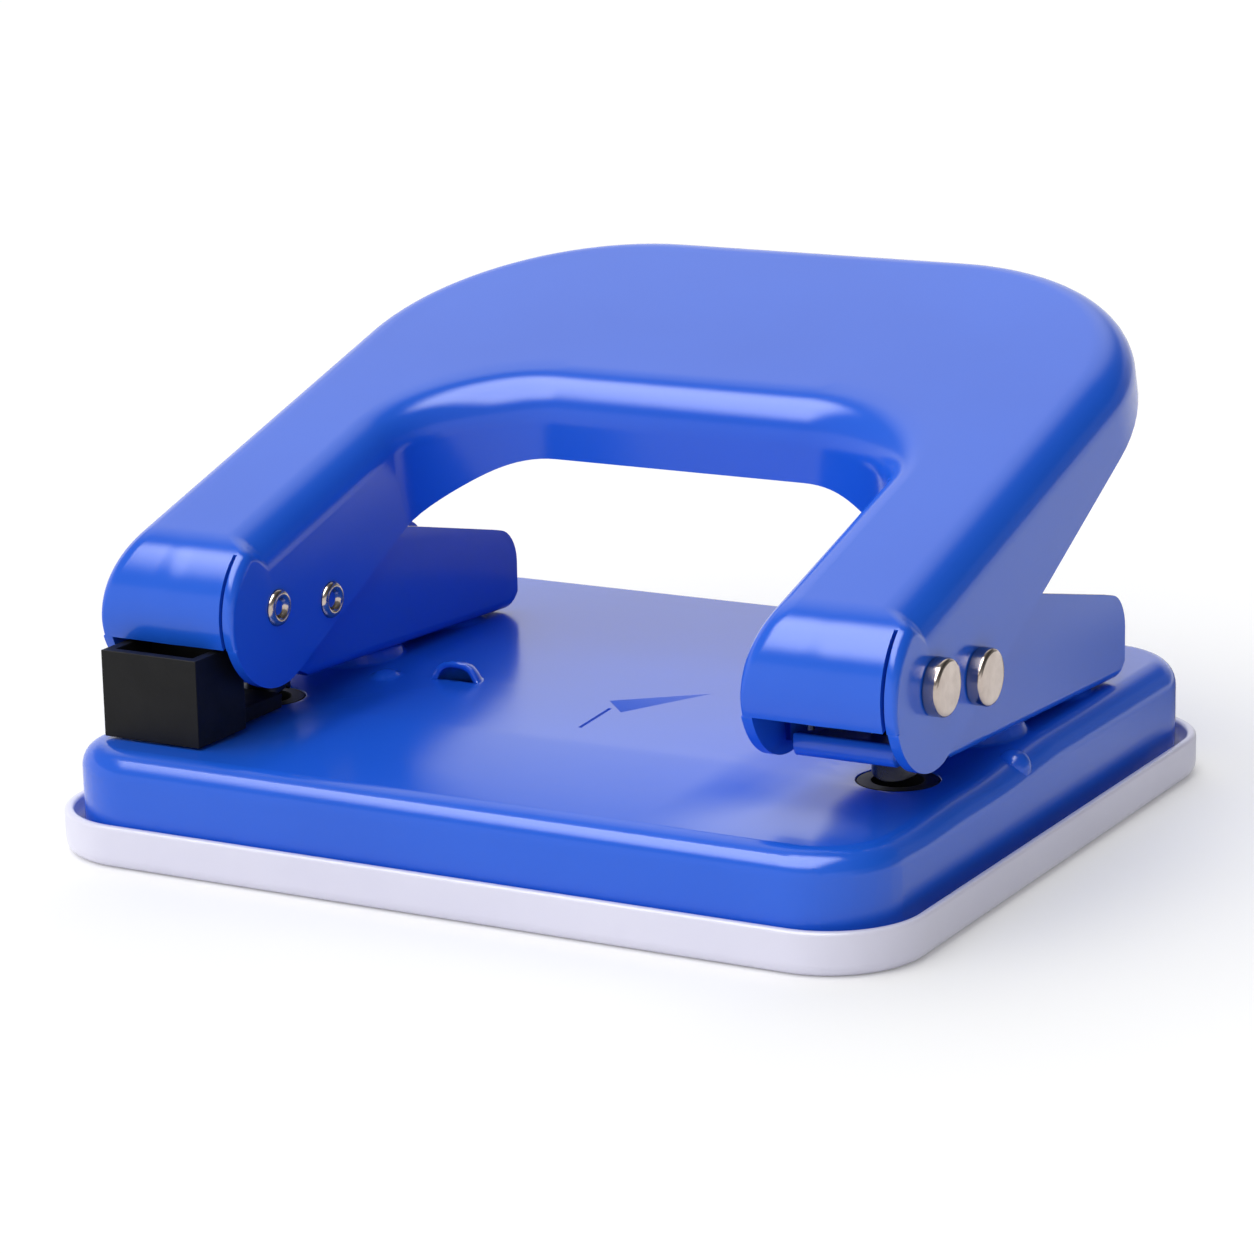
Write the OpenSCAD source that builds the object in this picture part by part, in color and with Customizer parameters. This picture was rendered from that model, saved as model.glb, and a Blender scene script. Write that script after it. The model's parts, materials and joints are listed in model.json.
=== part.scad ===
// Two-hole desk punch: pressed-steel base with a clip-on chip tray, two punch frames,
// one broad rolled-sheet lever, round punches driven by cross pins.
// Frame: X along the front edge, Y from front to back, Z up, origin under the tray.

/* [Chip tray] */
// height of the tray rim
tray_h = 4.9; // [3.5:0.1:7]
// wall and floor thickness of the tray
tray_t = 1.1; // [0.8:0.1:1.6]

/* [Base plate] */
// depth of the base from front to back
base_d = 90.2; // [84:0.1:98]
// corner radius of the base seen from above
base_r = 9.7; // [7:0.1:14]
// height of the flat top above the table
base_top = 13.4; // [11:0.1:17]
// radius of the pressed edge between top and skirt
base_edge = 4.5; // [3:0.1:6]
// sheet thickness of the base
base_t = 1.2; // [0.8:0.1:1.6]
// width of the base beyond the lever legs on each side
base_side = 2.2; // [1.5:0.1:6]
// distance from the punch line to the paper stops
stop_back = 12; // [9:0.5:15]

/* [Lever] */
// distance between the two punches
pitch = 80; // [70:1:90]
// height of the pivot above the base top
pivot_h = 12.7; // [12:0.1:15]
// distance of the pivot behind the front edge of the base
pivot_in = 18.7; // [17:0.1:24]
// outside width of one lever leg
leg_w = 17.8; // [16:0.1:20]
// sheet thickness of the lever
lever_t = 1.2; // [0.8:0.1:1.6]
// radius of the round leg ends and height of the web over the pivot
nose_r = 9; // [8.5:0.1:10]
// outside bend radius between web and flanges
lever_bend = 4.5; // [3:0.1:6]
// length from the pivot to the rear edge, along the web
lever_len = 81; // [74:1:90]
// outside corner radius of the handle
handle_r = 30; // [20:1:32]
// length from the pivot to the rear edge of the finger opening
open_len = 42; // [36:1:50]
// corner radius of the finger opening
open_r = 15; // [8:1:20]
// slope of the web with the lever up
lever_tilt = 16.5; // [12:0.5:22]
// angle the lever can be pressed down
press_angle = 22; // [16:1:24]

/* [Frames and pins] */
// length of a frame behind the pivot
frame_len = 54.8; // [50:0.1:60]
// height of the frame's tail
tail_h = 8.5; // [7:0.1:10]
// sheet thickness of a punch frame
frame_t = 1.2; // [0.8:0.1:1.6]
// clear height of the paper slot
slot_h = 2.1; // [1.6:0.1:3]
// shank diameter of the cross pins
pin_d = 3.6; // [3:0.1:4.2]
// diameter of a pin head
pin_head_d = 6.2; // [5.2:0.1:7]
// distance from pivot pin to drive pin
drive_r = 10.85; // [10:0.05:12]
// diameter of a punch
punch_d = 5.6; // [5:0.1:6.5]
// diameter of a frame rivet
rivet_d = 4; // [3:0.1:5]

/* [Nose block] */
// width of the block
block_w = 12.6; // [8:0.1:14]
// depth of the block's box
block_d = 9.2; // [6:0.1:10]
// wall thickness of the block
block_t = 1.2; // [1:0.1:2]

/* [Hidden] */
$fn = 64;
run = 0.05;
seat = 0.02;
gap = 0.3;
fit_side = 0.2;
side_gap = 0.5;
half = pitch / 2;
leg_o = half + leg_w / 2;
leg_i = half - leg_w / 2;
base_w = 2 * leg_o + 2 * base_side;
tray_w = base_w + 2 * (tray_t + fit_side);
tray_d = base_d + 2 * (tray_t + fit_side);
tray_r = base_r + tray_t + fit_side;
tray_foot = 1.5;
skirt_z = tray_t + gap;
pivot_y = pivot_in - base_d / 2;
pivot_z = base_top + pivot_h;
drive_a = -7.95;
drive_y = pivot_y + drive_r * cos(drive_a);
drive_z = pivot_z + drive_r * sin(drive_a);
low_y = pivot_y + drive_r * cos(drive_a - press_angle);
low_z = pivot_z + drive_r * sin(drive_a - press_angle);
stroke = drive_z - low_z;
low_tilt = lever_tilt - press_angle;
bend_in = lever_bend - lever_t;
bend_drop = bend_in - sqrt(bend_in ^ 2 - (bend_in - side_gap) ^ 2);
low_h = nose_r - lever_t - bend_drop;
function low_web(y) = pivot_z + (low_h + (y - pivot_y) * sin(low_tilt)) / cos(low_tilt);
frame_w = leg_w - 2 * lever_t - 2 * side_gap;
frame_in = frame_w - 2 * frame_t;
frame_z = base_top + slot_h;
web_z = frame_z + frame_t;
frame_rear = pivot_y + frame_len;
frame_bend = frame_t + 1.2;
frame_n = 5.4;
lip_in = 1.8;
lip_h = 4.6;
lip_r = 1;
lip_y = pivot_y - lip_in;
tail_r = 4;
tail_slope = 14;
tail_cut = 2.4;
crest_front = 18.4;
crest_rear = 31.4;
crest_gap = 0.4;
crest_y = [pivot_y + crest_front, pivot_y + crest_rear];
pad_wall = 3.4;
pad_slope = 0.9;
pad_r = rivet_d / 2 + pad_wall;
rivet_front = 26.4;
rivet_rear = 8.4;
rivet_y = [frame_rear - rivet_front, frame_rear - rivet_rear];
rivet_end = 0.7;
punch_y = (drive_y + low_y) / 2;
tip_gap = 1.2;
tip_z = base_top + tip_gap;
head_z = web_z + stroke + 0.4;
slot_l = drive_y - low_y + 0.3;
pin_slot = pin_d + 0.26;
slot_play = 0.45;
head_d = frame_in - 2;
head_top = drive_z + pin_slot / 2 + 1.5;
bridge_z = head_top + 1.4;
bridge_edge = 1;
stem_d = 5;
die_play = 0.16;
die_wall = 1.7;
die_foot = 2.2;
die_d = punch_d + die_play;
die_hub = punch_d + 2 * die_wall;
stop_y = punch_y + stop_back;
stop_x = half - 18;
flange_a = 9.86;
flange_in = 0.25;
roll = 94;
flap_z = pivot_z + nose_r * cos(roll + lever_tilt);
block_y = lip_y - frame_t - 0.4 - block_d;
block_z = base_top + 0.1;
block_h = flap_z - 0.35 - block_z;
tongue_l = punch_y - punch_d / 2 - 1.5 - block_y - block_d + 1;
coil_d = 0.9;
coil_pitch = 1.5;
coil_turns = floor((frame_in - coil_d - 2.4) / coil_pitch - 0.33);
coil_r = pin_d / 2 + coil_d / 2 + 0.4;

// rounded rectangle seen from above
module rounded(w, d, r) {
  square([w, d - 2 * r], center = true);
  square([w - 2 * r, d], center = true);
  for (sx = [-1, 1], sy = [-1, 1])
    translate([sx * (w / 2 - r), sy * (d / 2 - r)])
      circle(r = r);
}

// sweep of a section once round a rounded rectangle, section measured from the corner centre
module rim(w, d, r) {
  for (k = [0:3]) {
    l = (k % 2 == 0) ? d - 2 * r : w - 2 * r;
    o = (k % 2 == 0) ? w / 2 - r : d / 2 - r;
    rotate(90 * k)
      translate([o, l / 2, 0])
        rotate_extrude(angle = 90)
          children();
    rotate(90 * k)
      translate([o, l / 2, 0])
        rotate([90, 0, 0])
          linear_extrude(l)
            children();
  }
}

// section of a bent sheet edge: flange going down from a bend whose top is at z
module bend_section(p, z, b, t, low) {
  difference() {
    translate([p - b, z - b])
      intersection() {
        circle(r = b);
        square([b, b]);
      }
    translate([p - b, z - b])
      circle(r = b - t);
  }
  translate([p - t, low])
    square([t, z - b - low]);
}

// CHIP TRAY: shallow moulded tray that clips over the foot of the base
module chip_tray() {
  color("lavender") {
    rim(tray_w, tray_d, tray_r)
      difference() {
        translate([tray_r - 2.5, 0])
          square([2.5, tray_h]);
        translate([tray_r - 2.6, tray_t])
          square([2.6 - tray_t, tray_h]);
        difference() {
          translate([tray_r - tray_foot, -1])
            square([tray_foot + 1, tray_foot + 1]);
          translate([tray_r - tray_foot, tray_foot])
            circle(r = tray_foot);
        }
      }
    linear_extrude(tray_t)
      rounded(tray_w - 5, tray_d - 5, tray_r - 2.5);
  }
}

// BASE PLATE: deep-drawn pan, open below, with die seats, rivet pads and paper stops
module base_shell() {
  rim(base_w, base_d, base_r)
    bend_section(base_r, base_top, base_edge, base_t, skirt_z);
  translate([0, 0, base_top - base_t])
    linear_extrude(base_t)
      rounded(base_w - 2 * base_edge, base_d - 2 * base_edge, base_r - base_edge);
}

module pad(y) {
  translate([0, y, base_top - base_t / 2])
    cylinder(h = slot_h + base_t / 2, r1 = pad_r + pad_slope, r2 = pad_r);
}

module stop_louvre() {
  difference() {
    translate([0, 0, base_top - 2.6])
      sphere(r = 4.2);
    translate([0, 0, base_top - 10 - base_t / 2])
      cube([20, 20, 20], center = true);
    translate([0, -10, base_top])
      cube([20, 20, 20], center = true);
  }
}

module base_plate() {
  color("royalblue")
    difference() {
      union() {
        base_shell();
        for (s = [-1, 1]) {
          translate([s * half, 0, 0]) {
            for (y = rivet_y)
              pad(y);
            for (t = [-1, 1])
              translate([t * (leg_w / 2 - 0.3), stop_y, base_top - 0.8])
                sphere(r = 1.9);
          }
          translate([s * stop_x, stop_y, 0])
            stop_louvre();
        }
      }
      for (s = [-1, 1]) {
        translate([s * half, 0, 0]) {
          translate([0, punch_y, 0])
            cylinder(h = pivot_z, d = die_hub + 2 * seat);
          for (y = rivet_y) {
            translate([0, y, base_top - 2 * base_t])
              cylinder(h = slot_h + base_t, r1 = pad_r + pad_slope - base_t, r2 = pad_r - base_t);
            translate([0, y, 0])
              cylinder(h = pivot_z, d = rivet_d + 2 * seat);
          }
        }
        translate([s * stop_x, stop_y, base_top - 2.6 - 0.7])
          intersection() {
            sphere(r = 3.9);
            translate([0, 2.5 - 0.9, 2])
              cube([20, 5, 8], center = true);
          }
      }
      translate([0, punch_y, base_top - 0.3])
        linear_extrude(1)
          polygon([[0.8, 0.5], [1.3, 0.5], [0.8, 9.3], [2.1, 7.9], [7.6, 19.2], [-1.5, 11.7], [0.2, 9.9]]);
    }
}

// DIES: hardened rings pressed up into the base under each punch
module die() {
  color("dimgray")
    translate([0, punch_y, 0])
      difference() {
        union() {
          translate([0, 0, base_top - base_t - die_foot])
            cylinder(h = die_foot - seat, d = die_hub + 2 * die_foot);
          translate([0, 0, base_top - base_t - die_foot])
            cylinder(h = die_foot + base_t - seat, d = die_hub);
        }
        cylinder(h = pivot_z, d = die_d);
      }
}

// PUNCH FRAMES: channels with a turned-up front lip, riveted on the pads of the base
module frame_section() {
  b = frame_bend;
  t = frame_t;
  difference() {
    translate([-frame_w / 2, frame_z + b])
      square([frame_w, pivot_z]);
    translate([-frame_in / 2, frame_z])
      square([frame_in, 2 * pivot_z]);
  }
  translate([-frame_w / 2 + b, frame_z])
    square([frame_w - 2 * b, t]);
  for (s = [-1, 1])
    difference() {
      translate([s * (frame_w / 2 - b), frame_z + b])
        intersection() {
          circle(r = b);
          translate([s * b / 2, -b / 2])
            square([b, b], center = true);
        }
      translate([s * (frame_w / 2 - b), frame_z + b])
        circle(r = b - t);
    }
}

module frame_side() {
  r = tail_r;
  a = tail_slope;
  n = frame_n;
  c = tail_cut;
  cy = frame_rear - r;
  cz = frame_z + tail_h - r;
  polygon(concat(
    [[lip_y, base_top], [frame_rear - c, base_top], [frame_rear - c, frame_z], [frame_rear, frame_z + c]],
    [for (i = [0:5]) [cy + r * cos(i * (90 - a) / 5), cz + r * sin(i * (90 - a) / 5)]],
    [[crest_y[1], low_web(crest_y[1]) - 2 * crest_gap], [crest_y[0], low_web(crest_y[0]) - crest_gap],
      [pivot_y, pivot_z + n], [pivot_y - n, pivot_z], [pivot_y - n, flap_z],
      [lip_y - frame_t, flap_z], [lip_y, flap_z - lip_in]]));
}

module drive_slot() {
  w = pin_d + 2 * slot_play;
  over = asin(w / 2 / drive_r);
  translate([0, pivot_y, pivot_z])
    rotate([0, 90, 0])
      rotate(90 + drive_a - press_angle - over)
        rotate_extrude(angle = press_angle + 2 * over)
          translate([drive_r - w / 2, -frame_w])
            square([w, 2 * frame_w]);
}

module frame() {
  color("mediumblue")
    difference() {
      union() {
        intersection() {
          translate([0, frame_rear, 0])
            rotate([90, 0, 0])
              linear_extrude(2 * frame_len)
                frame_section();
          rotate([90, 0, 90])
            linear_extrude(2 * frame_w, center = true)
              frame_side();
        }
        translate([0, lip_y, frame_z])
          rotate([0, -90, 0])
            linear_extrude(frame_in - 2 * gap, center = true)
              difference() {
                union() {
                  translate([0, -frame_t])
                    square([lip_h, frame_t]);
                  translate([0, -frame_t])
                    square([frame_t, 2 * frame_t]);
                }
                difference() {
                  translate([-lip_r, -frame_t - lip_r])
                    square([2 * lip_r, 2 * lip_r]);
                  translate([lip_r, lip_r - frame_t])
                    circle(r = lip_r);
                }
              }
      }
      translate([-frame_w, pivot_y, pivot_z])
        rotate([0, 90, 0])
          cylinder(h = 2 * frame_w, d = pin_d + 2 * run);
      drive_slot();
      translate([0, punch_y, 0])
        cylinder(h = pivot_z, d = punch_d + 2 * run);
      for (y = rivet_y)
        translate([0, y, 0])
          cylinder(h = pivot_z, d = rivet_d + 2 * seat);
    }
}

// GUIDE BRIDGES: cross plates that steer the upper stems of the punches
module bridge() {
  color("silver")
    difference() {
      translate([0, punch_y, bridge_z + frame_t / 2])
        cube([frame_in - 2 * seat, stem_d + 2 * bridge_edge, frame_t], center = true);
      translate([0, punch_y, 0])
        cylinder(h = 2 * bridge_z, d = stem_d + 2 * run);
    }
}

// FRAME RIVETS: two round-headed rivets hold each frame on its pads
module frame_rivets() {
  color("silver")
    for (y = rivet_y)
      translate([0, y, 0]) {
        translate([0, 0, web_z + seat])
          intersection() {
            translate([0, 0, -0.7 * rivet_d])
              sphere(r = 1.1 * rivet_d);
            cylinder(h = rivet_d, d = 1.75 * rivet_d);
          }
        translate([0, 0, frame_z - base_t - rivet_end / 2])
          cylinder(h = frame_t + base_t + rivet_end, d = rivet_d);
        translate([0, 0, frame_z - base_t - seat - rivet_end])
          cylinder(h = rivet_end, d = 1.5 * rivet_d);
      }
}

// NOSE BLOCK: black open-topped plug pushed in under the left leg, with a tongue in the slot
module nose_block() {
  color("black")
    translate([-half, block_y, block_z]) {
      difference() {
        translate([-block_w / 2, 0, 0])
          cube([block_w, block_d, block_h]);
        translate([block_t - block_w / 2, block_t, block_t])
          cube([block_w - 2 * block_t, block_d - 2 * block_t, block_h]);
      }
      translate([1.3 - block_w / 2, block_d - 1, 0])
        cube([block_w - 2.6, tongue_l, slot_h - 0.4]);
    }
}

// LEVER: one pressing, web with turned-down edges, rolled noses and disc-shaped leg ends
module lever_web() {
  b = lever_bend;
  difference() {
    union() {
      translate([-(leg_o - b), 0])
        square([2 * (leg_o - b), lever_len - handle_r]);
      translate([-(leg_o - handle_r), 0])
        square([2 * (leg_o - handle_r), lever_len - b]);
      for (s = [-1, 1])
        translate([s * (leg_o - handle_r), lever_len - handle_r])
          circle(r = handle_r - b);
    }
    translate([-(leg_i + b), -1])
      square([2 * (leg_i + b), open_len - open_r + 1]);
    translate([-(leg_i - open_r), -1])
      square([2 * (leg_i - open_r), open_len + b + 1]);
    for (s = [-1, 1])
      translate([s * (leg_i - open_r), open_len - open_r])
        circle(r = open_r + b);
  }
}

module edge_section(r, side) {
  translate([r, 0])
    mirror([side, 0])
      bend_section(0, nose_r, lever_bend, lever_t, -2 * nose_r);
}

module below_flanges() {
  rotate([flange_a, 0, 0])
    translate([-base_w, -lever_len, flange_in - nose_r - base_w])
      cube([2 * base_w, 3 * lever_len, base_w]);
}

module lever_edges() {
  difference() {
    for (s = [0, 1])
      mirror([s, 0, 0]) {
        translate([leg_o - handle_r, lever_len - handle_r, 0]) {
          rotate_extrude(angle = 90)
            edge_section(handle_r, 0);
        }
        translate([leg_i - open_r, open_len - open_r, 0])
          rotate_extrude(angle = 90)
            edge_section(open_r, 1);
        translate([leg_o, lever_len - handle_r, 0])
          rotate([90, 0, 0])
            linear_extrude(lever_len - handle_r)
              edge_section(0, 0);
        translate([leg_i, open_len - open_r, 0])
          rotate([90, 0, 0])
            linear_extrude(open_len - open_r)
              edge_section(0, 1);
        translate([0, lever_len, 0])
          rotate([90, 0, 90])
            linear_extrude(leg_o - handle_r)
              edge_section(0, 0);
        translate([0, open_len, 0])
          rotate([90, 0, 90])
            linear_extrude(leg_i - open_r)
              edge_section(0, 1);
      }
    below_flanges();
  }
}

module leg_end() {
  for (s = [-1, 1])
    translate([s * (leg_w - lever_t) / 2 - lever_t / 2, 0, 0])
      rotate([90, 0, 90])
        linear_extrude(lever_t)
          difference() {
            circle(r = nose_r);
            translate([0, nose_r - lever_bend])
              square(2 * nose_r);
          }
  rotate([0, 90, 0])
    rotate(180)
      rotate_extrude(angle = roll)
        translate([nose_r - lever_t, -leg_w / 2 + lever_t + 0.35])
          square([lever_t, leg_w - 2 * lever_t - 0.7]);
}

module lever() {
  color("royalblue")
    translate([0, pivot_y, pivot_z])
      rotate([lever_tilt, 0, 0])
        difference() {
          union() {
            translate([0, 0, nose_r - lever_t])
              linear_extrude(lever_t)
                lever_web();
            lever_edges();
            for (s = [-1, 1])
              translate([s * half, 0, 0])
                leg_end();
          }
          for (r = [0, drive_r])
            rotate([drive_a - lever_tilt, 0, 0])
              translate([-base_w / 2, r, 0])
                rotate([0, 90, 0])
                  cylinder(h = base_w, d = pin_d + 2 * seat);
        }
}

// CROSS PINS: semi-tubular rivets, flat heads outboard, rolled ends inboard
module cross_pin(y, z) {
  color("gainsboro")
    translate([0, y, z])
      rotate([0, 90, 0]) {
        translate([0, 0, leg_w / 2 + 0.02])
          cylinder(h = 1.4, d = pin_head_d);
        translate([0, 0, leg_w / 2 + 1.42])
          cylinder(h = 0.4, d1 = pin_head_d, d2 = pin_head_d - 0.8);
        translate([0, 0, -leg_w / 2 - 0.5])
          cylinder(h = leg_w + 1, d = pin_d);
        translate([0, 0, -leg_w / 2 - 0.72])
          difference() {
            cylinder(h = 0.7, d1 = pin_d + 0.1, d2 = pin_d + 0.6);
            translate([0, 0, -0.01])
              cylinder(h = 0.9, d1 = pin_d - 1, d2 = pin_d - 2);
          }
      }
}

module pivot_pin() {
  cross_pin(pivot_y, pivot_z);
}

module drive_pin() {
  cross_pin(drive_y, drive_z);
}

// PUNCHES: ground shanks with a slotted head for the drive pin and a guiding stem
module punch() {
  color("slategray")
    difference() {
      union() {
        translate([0, punch_y, tip_z])
          cylinder(h = head_z - tip_z + 0.5, d = punch_d);
        translate([0, punch_y, head_z])
          cylinder(h = head_top - head_z, d = head_d);
        translate([0, punch_y, head_top - 1])
          cylinder(h = bridge_z + frame_t + stroke + 1.4 - head_top, d = stem_d);
      }
      translate([-head_d, punch_y - (slot_l + pin_slot) / 2, drive_z - pin_slot / 2])
        cube([2 * head_d, slot_l + pin_slot, pin_slot]);
      translate([0, punch_y, tip_z])
        rotate([0, 90, 0])
          rotate(45)
            cube([punch_d / 4, punch_d / 4, 2 * punch_d], center = true);
    }
}

// RETURN SPRINGS: torsion coils on the pivot pins, one leg on the lip, one under the web
function turn(a, x) = [x, pivot_y - coil_r * cos(a), pivot_z + coil_r * sin(a)];
lift_a = 24;
leg_a = lift_a + lever_tilt;
coil_sweep = 360 * coil_turns + 90 - leg_a;
coil_x0 = -coil_pitch * coil_sweep / 720;
leg_l = (nose_r - lever_t - coil_d / 2 - 0.2 - coil_r * cos(lift_a)) / sin(lift_a);
steps = ceil(coil_sweep / 45);
coil_path = concat(
  [[coil_x0, pivot_y - coil_r, frame_z + lip_h + 0.15]],
  [for (i = [0:steps]) turn(coil_sweep * i / steps, coil_x0 * (1 - 2 * i / steps))],
  [turn(coil_sweep, -coil_x0) + leg_l * [0, cos(leg_a), sin(leg_a)]]);

function unit(v) = v / norm(v);
function tangent(p, i) = unit(p[min(i + 1, len(p) - 1)] - p[max(i - 1, 0)]);
function ring(p, i, r) =
  let (t = tangent(p, i), e2 = unit(cross(t, [1, 0, 0])), e1 = cross(e2, t))
  [for (k = [0:5]) p[i] + r * (cos(60 * k) * e1 + sin(60 * k) * e2)];

module tube(p, r) {
  n = len(p);
  pts = [for (i = [0:n - 1]) each ring(p, i, r)];
  sides = [for (i = [0:n - 2], k = [0:5])
    let (a = 6 * i + k, b = 6 * i + (k + 1) % 6)
    each [[a, a + 6, b], [b, a + 6, b + 6]]];
  caps = [for (k = [1:4]) each [[0, k, k + 1],
    [6 * (n - 1), 6 * (n - 1) + k + 1, 6 * (n - 1) + k]]];
  polyhedron(pts, concat(sides, caps));
}

function far_gap(p) = min([for (i = [0:len(p) - 1], j = [i + 5:1:len(p) - 1]) norm(p[i] - p[j])]) - coil_d;
echo(spring_least_gap = far_gap(coil_path));

module spring() {
  color("silver")
    tube(coil_path, coil_d / 2);
}

module on_left() {
  translate([-half, 0, 0])
    mirror([1, 0, 0])
      children();
}

module on_right() {
  translate([half, 0, 0])
    children();
}

chip_tray();
base_plate();
on_left() die();  // die_left
on_right() die();  // die_right
on_left() frame();  // frame_left
on_right() frame();  // frame_right
on_left() bridge();  // bridge_left
on_right() bridge();  // bridge_right
on_left() frame_rivets();  // frame_rivets_left
on_right() frame_rivets();  // frame_rivets_right
nose_block();
lever();
on_left() pivot_pin();  // pivot_pin_left
on_right() pivot_pin();  // pivot_pin_right
on_left() drive_pin();  // drive_pin_left
on_right() drive_pin();  // drive_pin_right
on_left() punch();  // punch_left
on_right() punch();  // punch_right
on_left() spring();  // spring_left
on_right() spring();  // spring_right
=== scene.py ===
import json
from math import atan2, cos, pi, radians, sin, sqrt

import bmesh
import bpy
from mathutils import Matrix, Vector


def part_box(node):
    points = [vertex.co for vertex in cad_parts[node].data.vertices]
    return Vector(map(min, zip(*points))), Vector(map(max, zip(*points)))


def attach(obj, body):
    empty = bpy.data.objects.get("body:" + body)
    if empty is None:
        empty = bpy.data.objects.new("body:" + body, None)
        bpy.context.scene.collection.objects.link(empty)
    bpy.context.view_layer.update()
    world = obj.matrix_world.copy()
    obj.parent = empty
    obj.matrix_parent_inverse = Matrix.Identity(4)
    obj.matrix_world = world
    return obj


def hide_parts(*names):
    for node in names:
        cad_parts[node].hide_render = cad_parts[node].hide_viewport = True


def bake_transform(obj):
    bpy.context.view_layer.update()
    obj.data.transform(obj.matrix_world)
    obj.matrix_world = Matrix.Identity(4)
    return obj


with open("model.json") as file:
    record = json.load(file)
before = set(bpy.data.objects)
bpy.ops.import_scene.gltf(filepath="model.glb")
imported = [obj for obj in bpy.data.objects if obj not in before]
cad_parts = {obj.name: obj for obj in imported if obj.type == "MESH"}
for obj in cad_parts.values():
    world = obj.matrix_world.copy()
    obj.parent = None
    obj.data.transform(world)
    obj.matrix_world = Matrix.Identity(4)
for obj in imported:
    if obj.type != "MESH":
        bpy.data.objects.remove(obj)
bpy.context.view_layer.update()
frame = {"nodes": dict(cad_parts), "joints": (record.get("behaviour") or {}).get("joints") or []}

# Chip tray
# A shallow tray of pale lavender polypropylene, moulded in one shot with an even wall.
# The steel base sits down inside its rim, and the tray catches the paper chips.
mm = 0.001
tray_low, tray_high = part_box("chip_tray")
tray_wall = 1.1 * mm
tray_corner = 11 * mm
tray_floor = 1.1 * mm
tray_foot = 1.5 * mm
tray_rim = 0.45 * mm


def rounded_plate(low, high, z, corner, steps=20):
    """A bmesh that holds one flat face with four round corners."""
    plate = bmesh.new()
    corners = [plate.verts.new((x, y, z)) for x, y in (
        (low.x, low.y), (high.x, low.y), (high.x, high.y), (low.x, high.y))]
    plate.faces.new(corners)
    bmesh.ops.bevel(plate, geom=corners, offset=corner, segments=steps, profile=0.5,
                    affect="VERTICES", material=-1)
    return plate


def edges_of(faces):
    return list(dict.fromkeys(e for f in faces for e in f.edges))


def only(made, kind):
    """The elements of one kind among those that an operator made."""
    return [part for part in made if isinstance(part, kind)]


def pull(work, faces, step):
    """Extrudes faces by a step, leaves no lid behind, and gives back the faces at the far end."""
    made = bmesh.ops.extrude_face_region(work, geom=faces + edges_of(faces))["geom"]
    bmesh.ops.translate(work, vec=step, verts=only(made, bmesh.types.BMVert))
    return only(made, bmesh.types.BMFace)


def edges_at(work, z, gap=1e-6):
    """The edges that lie at one height."""
    return [e for e in work.edges if all(abs(v.co.z - z) < gap for v in e.verts)]


def faces_at(work, z, gap=1e-6):
    """The faces that lie at one height."""
    return [f for f in work.faces if all(abs(v.co.z - z) < gap for v in f.verts)]


def round_edges(work, edges, radius, steps):
    bmesh.ops.bevel(work, geom=edges, offset=radius, segments=steps, profile=0.5,
                    affect="EDGES", material=-1)


def add_piece(name, work, finish, wall=0.0, edge=0.0, even=True):
    """Closes the seams of a bmesh and makes it an object, with a sheet wall and eased edges."""
    bmesh.ops.remove_doubles(work, verts=work.verts, dist=1e-6)
    bmesh.ops.recalc_face_normals(work, faces=work.faces)
    for face in work.faces:
        face.smooth = True
    data = bpy.data.meshes.new(name)
    work.to_mesh(data)
    work.free()
    data.materials.append(finish)
    piece = bpy.data.objects.new(name, data)
    bpy.context.scene.collection.objects.link(piece)
    if wall:
        sheet = piece.modifiers.new("wall", "SOLIDIFY")
        sheet.thickness = wall
        sheet.offset = -1
        sheet.use_even_offset = even
    if edge:
        eased = piece.modifiers.new("eased_edges", "BEVEL")
        eased.width = edge
        eased.segments = 2
        eased.limit_method = "ANGLE"
        eased.angle_limit = radians(40)
    piece.modifiers.new("flat_faces", "WEIGHTED_NORMAL").keep_sharp = True
    return piece


def put(tree, kind, sockets=(), **settings):
    """Adds a shader node; a socket's value is a constant or another node's output."""
    node = tree.nodes.new("ShaderNode" + kind)
    for key, value in settings.items():
        setattr(node, key, value)
    for socket, value in dict(sockets).items():
        if isinstance(value, bpy.types.NodeSocket):
            tree.links.new(value, node.inputs[socket])
        else:
            node.inputs[socket].default_value = value
    return node


def ramp(tree, factor, *stops):
    """A colour ramp: each stop is a place and a colour."""
    node = put(tree, "ValToRGB", {"Fac": factor})
    while len(node.color_ramp.elements) < len(stops):
        node.color_ramp.elements.new(1.0)
    for element, (place, colour) in zip(node.color_ramp.elements, stops):
        element.position = place
        element.color = (*colour, 1.0)
    return node.outputs["Color"]


def raised(tree, height, strength, depth):
    """The normals of a surface with a fine relief."""
    node = put(tree, "Bump", {"Height": height, "Strength": strength, "Distance": depth})
    return node.outputs["Normal"]


def shared_effect(name, inputs, outputs):
    """A shader node group with named number inputs and named number outputs."""
    tree = bpy.data.node_groups.new(name, "ShaderNodeTree")
    for socket, value in inputs.items():
        tree.interface.new_socket(
            socket, in_out="INPUT", socket_type="NodeSocketFloat").default_value = value
    for socket in outputs:
        tree.interface.new_socket(socket, in_out="OUTPUT", socket_type="NodeSocketFloat")
    return tree, tree.nodes.new("NodeGroupInput"), tree.nodes.new("NodeGroupOutput")


def use_effect(tree, group, **values):
    """Places a shared effect in a material with its own values."""
    node = tree.nodes.new("ShaderNodeGroup")
    node.node_tree = group
    for socket, value in values.items():
        node.inputs[socket].default_value = value
    return node.outputs


def new_finish(name, **constants):
    """A material with a Principled shader; the constants go straight on its sockets."""
    finish = bpy.data.materials.new(name)
    finish.use_nodes = True
    shader = finish.node_tree.nodes["Principled BSDF"]
    for socket, value in constants.items():
        shader.inputs[socket.replace("_", " ")].default_value = value
    return finish, finish.node_tree, shader


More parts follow.
